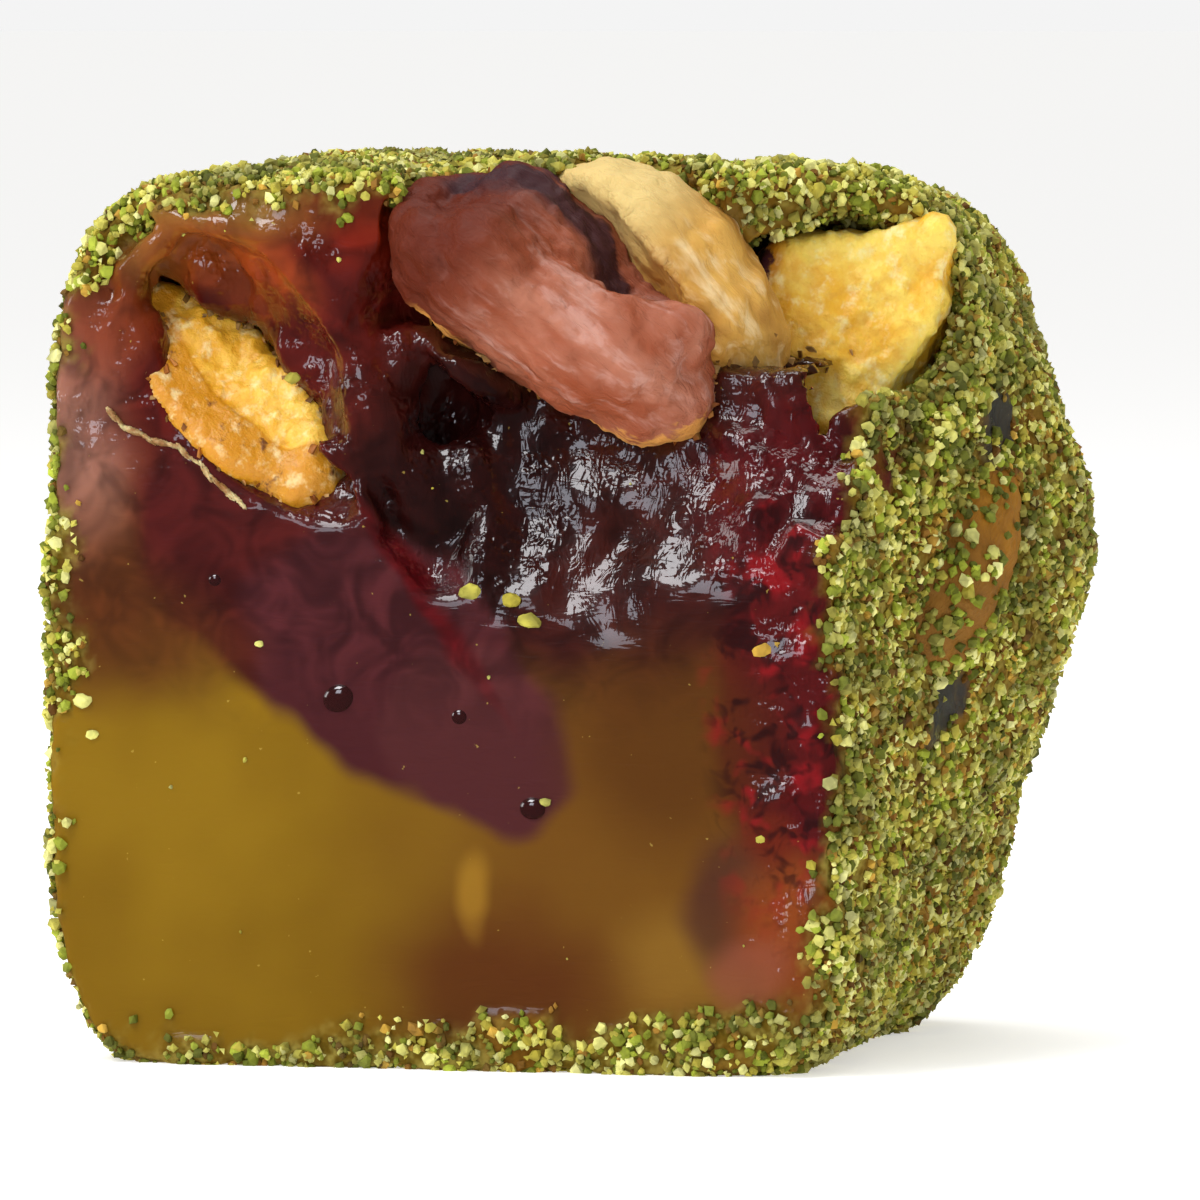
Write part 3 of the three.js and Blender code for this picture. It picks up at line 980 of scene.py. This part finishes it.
centre = make_kernel(
    "kernel_centre",
    skin_finish(
        "kernel_skin_purple",
        "kernel_centre",
        ("#94482a", "#b07058", "#c89a8c"),
        "#dc9a4c",
        "#40262a",
        "#5c1c06",
    ),
    [
        (0.45, 2.7, (1, 1, 1), 0.5, None),
        (0.36, 1.2, (1, 1, 1), 0.5, None),
        (0.13, 0.45, (1, 1, 1), 0.6, None),
    ],
    None,
    [
        ((-0.4, -0.6, 3.0), 4.0, (0, 0.5, -1.5)),  # flattened along its upper side
        ((1.7, 0.4, 2.5), 2.7, (0, 0.2, -1.5)),  # the notch where the tan kernel shows
        ((-4.9, -0.6, 2.2), 3.2, (0.9, 0.4, -1.2)),  # the top end sits lower
        ((-5.4, 0, -1.4), 2.6, (0.6, 0, 0.3)),
        ((3.9, -0.5, 2.2), 1.8, (0.2, 0, 0.35)),
        ((0.2, -2.6, 0.4), 2.6, (0, 0.45, 0)),
    ],
)
tan = make_kernel(
    "kernel_tan",
    skin_finish(
        "kernel_skin_rubbed",
        "kernel_tan",
        ("#b07a30", "#d8a650", "#f2dcae"),
        "#8a4c20",
        "#a8641c",
        "#d8bc78",
    ),
    [
        (0.5, 2.6, (1, 1, 1), 0.5, None),
        (0.3, 1.2, (1, 1, 1), 0.5, None),
        (0.07, 0.5, (1, 1, 1), 0.6, None),
    ],
)
left = make_kernel(
    "kernel_left",
    flesh_finish("kernel_flesh_amber", "kernel_left", ("#eaa81e", "#fcc84a", "#fff0b4"), "#7a4418", 1.56),
    [(0.8, 1.8, (1, 1, 1), 0.6, "broken"), (0.14, 0.5, (1, 1, 1), 0.6, None)],
    hull_of("kernel_left", 0.08),
    [
        ((0, 0, 0), 30, (0, -1.1, 0)),  # the whole kernel comes forward
        ((2.4, -2.2, -0.4), 1.4, (0, 0.6, 0)),
        ((-0.6, -2.0, -1.0), 1.2, (0, 0.5, 0.1)),
    ],
    0.84,
)
right = make_kernel(
    "kernel_right",
    flesh_finish(
        "kernel_flesh_yellow", "kernel_right", ("#f0b424", "#ffdc60", "#fff2b4"), "#4e2230", 1.22
    ),
    [(0.7, 1.8, (1, 1, 1), 0.6, "broken"), (0.12, 0.5, (1, 1, 1), 0.6, None)],
    hull_of("kernel_right", 0.1),
)
flank = make_kernel(
    "kernel_flank",
    skin_finish(
        "kernel_skin_flank",
        "kernel_flank",
        ("#8a5a1a", "#a8721e", "#8a5c20"),
        "#4a3c34",
        "#9a6a20",
        "#8a5e20",
    ),
    [(0.4, 2.2, (1, 1, 1), 0.5, None), (0.14, 0.6, (1, 1, 1), 0.6, None)],
)


def flank_coat(place, normal):
    """Crumbs cover the flank kernel but for a streak along it."""
    middle, turn = stance("kernel_flank")
    own = turn.inverted() @ (place - middle) / MM
    bare = ((own.x - 0.3) / 3.8) ** 2 + ((own.z - 0.2) / 1.15) ** 2
    ragged = 0.9 * noise.noise(place * 900) + 0.8 * noise.noise(place * 2600)
    return max(0.06, min(1.0, (bare - 0.6 + ragged) * 2))


paint(flank, "coat", flank_coat)
for kernel in (centre, tan, left, right):
    rimmed(kernel, jelly)

PALE = [(0.0, "#aa9c34"), (1.0, "#ece99a"), (0.35, "#c5bc4e"), (0.7, "#dbd776")]
GREEN = [(0.0, "#585e14"), (1.0, "#b2be3e"), (0.4, "#7c8322"), (0.75, "#99a330")]
WARM = [(0.0, "#5c3a0c"), (1.0, "#d8ac46"), (0.3, "#84591a"), (0.6, "#a87c2c"), (0.85, "#c49a38")]
nut_pale = grain_finish("pistachio_ground_pale", PALE)
nut_green = grain_finish("pistachio_ground_green", GREEN)
nut_warm = grain_finish("pistachio_ground_warm", WARM)

chunks = grain_shapes("chunks", 4, 0.16, 11, 0.75, 20)
splinters = grain_shapes("splinters", 4, 0.14, 31, 0.7, 8)
specks = grain_shapes("specks", 3, 0.1, 51, 0.8, 4)
scatter("crumbs_pale", jelly, chunks, "coat", 1.3, (0.24, 0.56), 0.05, 3, nut_pale)
scatter("crumbs_green", jelly, chunks, "coat", 1.2, (0.24, 0.52), 0.04, 13, nut_green)
scatter("crumbs_warm", jelly, chunks, "coat", 0.9, (0.22, 0.5), 0.03, 23, nut_warm)
scatter("splinters_pale", jelly, splinters, "coat", 3.7, (0.2, 0.44), 0.07, 33, nut_pale)
scatter("splinters_green", jelly, splinters, "coat", 3.7, (0.2, 0.44), 0.06, 43, nut_green)
scatter("splinters_warm", jelly, splinters, "coat", 2.3, (0.2, 0.4), 0.05, 53, nut_warm)
scatter("dust_pale", jelly, specks, "coat", 4.6, (0.14, 0.3), 0.14, 63, nut_pale)
scatter("fringe_pale", jelly, chunks, "fringe", 4.6, (0.18, 0.52), 0.16, 73, nut_pale)
scatter("fringe_green", jelly, chunks, "fringe", 4.6, (0.2, 0.5), 0.12, 83, nut_green)
scatter("flank_pale", flank, chunks, "coat", 3.0, (0.26, 0.6), 0.06, 93, nut_pale)
scatter("flank_green", flank, splinters, "coat", 9.0, (0.2, 0.46), 0.06, 103, nut_green)
scatter("stray_crumbs", jelly, chunks, "opened", 0.014, (0.08, 0.2), 0.02, 113, nut_pale)


def loose_crumbs(name, finish, crumbs, seed):
    """Single crumbs that the knife carried onto the cut: (x, depth, z) and size in millimetres."""
    pieces = []
    for i, (at, size) in enumerate(crumbs):
        bpy.ops.object.select_all(action="DESELECT")
        bpy.ops.mesh.primitive_ico_sphere_add(subdivisions=2, radius=size / 2 * MM, location=spot(*at))
        crumb = bpy.context.object
        bpy.ops.object.mode_set(mode="EDIT")
        bpy.ops.transform.resize(value=(1.25, 0.7, 0.85))
        bpy.ops.transform.vertex_random(offset=size * 0.12 * MM, seed=seed + i)
        bpy.ops.object.mode_set(mode="OBJECT")
        pieces.append(crumb)
    strewn = finished(join(pieces[0], pieces[1:]), name)
    strewn.data.materials.append(finish)
    shade = random.Random(seed)
    tint = strewn.data.attributes.new("tint", "FLOAT", "POINT")
    each = len(strewn.data.vertices) // len(crumbs)
    shades = [shade.random() for _ in crumbs]
    owner = [min(i // each, len(crumbs) - 1) for i in range(len(tint.data))]
    tint.data.foreach_set("value", [shades[i] for i in owner])
    shaded(strewn, False)
    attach(strewn, "root")


loose_crumbs(
    "loose_crumbs_pale",
    nut_pale,
    [
        ((-0.1, 1.6, 16.9), 0.4),
        ((1.0, 0.2, 14.3), 0.62),
        ((2.3, 0.1, 14.1), 0.5),
        ((2.9, 0.15, 13.5), 0.66),
        ((-11.2, 0, 10.9), 0.5),
        ((-10.9, 0, 9.9), 0.36),
        ((9.9, 1.0, 15.7), 0.4),
        ((5.9, 2.6, 19.1), 0.36),
        ((-8.2, 0.4, 25.1), 0.4),
        ((-9.7, 0.3, 21.9), 0.45),
        ((-9.2, 0.2, 19.9), 0.4),
        ((-4.6, 0.2, 20.7), 0.42),
        ((-2.9, 0.8, 18.0), 0.45),
        ((-2.1, 0.6, 16.2), 0.3),
        ((3.4, 0, 8.1), 0.3),
        ((10.1, 0, 7.1), 0.3),
        ((-5.6, 0, 12.7), 0.24),
    ],
    201,
)
loose_crumbs("loose_crumb_yellow", nut_warm, [((10.2, 0, 12.7), 0.6), ((10.6, 0, 12.9), 0.3)], 231)


SKIN = [(0.0, "#7a3c16"), (1.0, "#e0b070"), (0.5, "#b4702c")]
skin_bits = grain_finish("kernel_skin_bits", SKIN, 0.5)


def skin_thread():
    """A torn edge of skin, drawn out by the knife under the left kernel: thin slivers end to end."""
    course = [
        (-10.4, 19.7),
        (-9.9, 19.2),
        (-9.0, 18.8),
        (-8.2, 18.6),
        (-7.5, 18.1),
        (-6.8, 17.4),
        (-6.1, 16.9),
    ]
    slivers = []
    for (x, z), (next_x, next_z) in zip(course, course[1:]):
        tilt = math.degrees(math.atan2(next_z - z, next_x - x))
        reach = math.hypot(next_x - x, next_z - z)
        for part, thick in ((0.3, 0.09), (0.8, 0.06)):
            at = (x + part * (next_x - x), 0.02, z + part * (next_z - z))
            slivers.append(lump(at, (0.42 * reach, 0.1, thick), tilt + random.uniform(-14, 14)))
    thread = finished(join(slivers[0], slivers[1:]), "skin_thread")
    bpy.ops.object.mode_set(mode="EDIT")
    bpy.ops.mesh.select_all(action="SELECT")
    bpy.ops.transform.vertex_random(offset=0.035 * MM, seed=5)
    bpy.ops.object.mode_set(mode="OBJECT")
    thread.data.materials.append(thread_finish())
    shaded(thread)
    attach(thread, "root")


def thread_finish():
    """Dry torn skin: straw coloured, dull, a little see-through at its edge."""
    made, tree, shader = material("kernel_skin_torn")
    body = add(tree, "ShaderNodeTexCoord").outputs["Object"]
    tone = mix(tree, ramp(tree, grain(tree, body, 0.5, 3.0), 0.35, 0.65), "#9a6a34", "#dcc48a")
    set_inputs(tree, shader, {"Base Color": tone, "Roughness": 0.6, "Subsurface Weight": 0.2})
    shader.inputs["Subsurface Scale"].default_value = 0.3 * MM
    return made


skin_thread()


def air_bubbles():
    """Small bubbles caught under the cut's skin: clear domes over dark jelly."""
    made, tree, shader = material("jelly_bubble_wall")
    set_inputs(
        tree,
        shader,
        {
            "Base Color": linear("#2c0c0c"),
            "Roughness": 0.12,
            "IOR": 1.45,
            "Coat Weight": 1.0,
            "Coat Roughness": 0.03,
        },
    )
    domes = [
        lump((-3.1, 0.05, 11.1), (0.5, 0.2, 0.42), 20),
        lump((3.0, 0.05, 7.9), (0.42, 0.2, 0.34)),
        lump((0.7, 0.05, 10.6), (0.26, 0.12, 0.24)),
        lump((-7.0, 0.05, 14.6), (0.22, 0.12, 0.2)),
    ]
    bubbles = finished(join(domes[0], domes[1:]), "air_bubbles")
    bubbles.data.materials.append(made)
    shaded(bubbles)
    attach(bubbles, "root")


air_bubbles()

flakes = grain_shapes("flakes", 4, 0.2, 71, 0.3, 8)
for i, kernel in enumerate((centre, tan, left, right)):
    scatter(kernel.name + "_rim", kernel, flakes, "rim", 7.0, (0.15, 0.45), 0.02, 123 + 10 * i, skin_bits)
for tray in (chunks, splinters, specks, flakes):
    clear_tray(tray)


# ---------------------------------------------------------------- studio
def studio_floor():
    """Matt paper, lit evenly so that it stays pale out to the horizon."""
    bpy.ops.object.select_all(action="DESELECT")
    bpy.ops.mesh.primitive_plane_add(size=60)
    floor = bpy.context.object
    floor.name = "studio_floor"
    made, tree, shader = material("studio_paper")
    set_inputs(
        tree,
        shader,
        {
            "Base Color": linear("#f4f3f0"),
            "Roughness": 0.9,
            "Emission Color": (1, 1, 1, 1),
            "Emission Strength": FLOOR_GLOW,
        },
    )
    floor.data.materials.append(made)
    floor.visible_glossy = False


def lamp(name, at, size, watts, tone="#ffffff"):
    """A square softbox, size metres across, turned to the middle of the cube."""
    light = bpy.data.lights.new(name, "AREA")
    light.shape = "SQUARE"
    light.size = size
    light.energy = watts
    light.color = linear(tone)[:3]
    obj = bpy.data.objects.new(name, light)
    obj.location = at
    obj.rotation_euler = (LIT_PLACE - Vector(at)).to_track_quat("-Z", "Y").to_euler()
    obj.visible_camera = False
    bpy.context.scene.collection.objects.link(obj)


def studio_world():
    """White surroundings, nearly dark in wet surfaces so that only the softboxes glint there."""
    world = bpy.data.worlds.new("studio")
    bpy.context.scene.world = world
    world.use_nodes = True
    tree = world.node_tree
    tree.nodes.clear()
    rays = add(tree, "ShaderNodeLightPath").outputs
    gentle = add(tree, "ShaderNodeMix", {0: rays["Is Glossy Ray"], 2: SKY, 3: SKY_IN_GLOSS}).outputs[0]
    strength = add(tree, "ShaderNodeMix", {0: rays["Is Camera Ray"], 2: gentle, 3: SKY_SEEN}).outputs[0]
    sky = add(tree, "ShaderNodeBackground", {0: (1, 1, 1, 1), 1: strength})
    add(tree, "ShaderNodeOutputWorld", {0: sky.outputs[0]})


studio_floor()
studio_world()
# The key lamp glints on the long slope, the front one lifts the colours of the flat cut.
lamp("key_softbox", (-0.14, -0.22, 0.35), 0.17, 0.92, "#fcfcff")
lamp("top_softbox", (0.0, 0.08, 0.38), 0.24, 0.6)
lamp("left_softbox", (-0.42, -0.12, 0.14), 0.16, 0.3)
lamp("front_softbox", (-0.12, -0.39, 0.205), 0.13, 0.28, "#eef2ff")

scene = bpy.context.scene
scene.view_settings.view_transform = "Standard"  # paint-chart colours come out as they are

AZIMUTH, ELEVATION, DISTANCE = 17, 2.5, 0.41  # degrees to the right, degrees up, metres
LOOK_AT = Vector((0.0002, 0, 0.0136))
camera_data = bpy.data.cameras.new("camera")
camera_data.lens = 400
camera_data.clip_start = 0.01
camera_data.clip_end = 100
camera = bpy.data.objects.new("camera", camera_data)
a, e = math.radians(AZIMUTH), math.radians(ELEVATION)
back = Vector((math.sin(a) * math.cos(e), -math.cos(a) * math.cos(e), math.sin(e)))
camera.location = LOOK_AT + back * DISTANCE
camera.rotation_euler = back.to_track_quat("Z", "Y").to_euler()
scene.collection.objects.link(camera)
scene.camera = camera
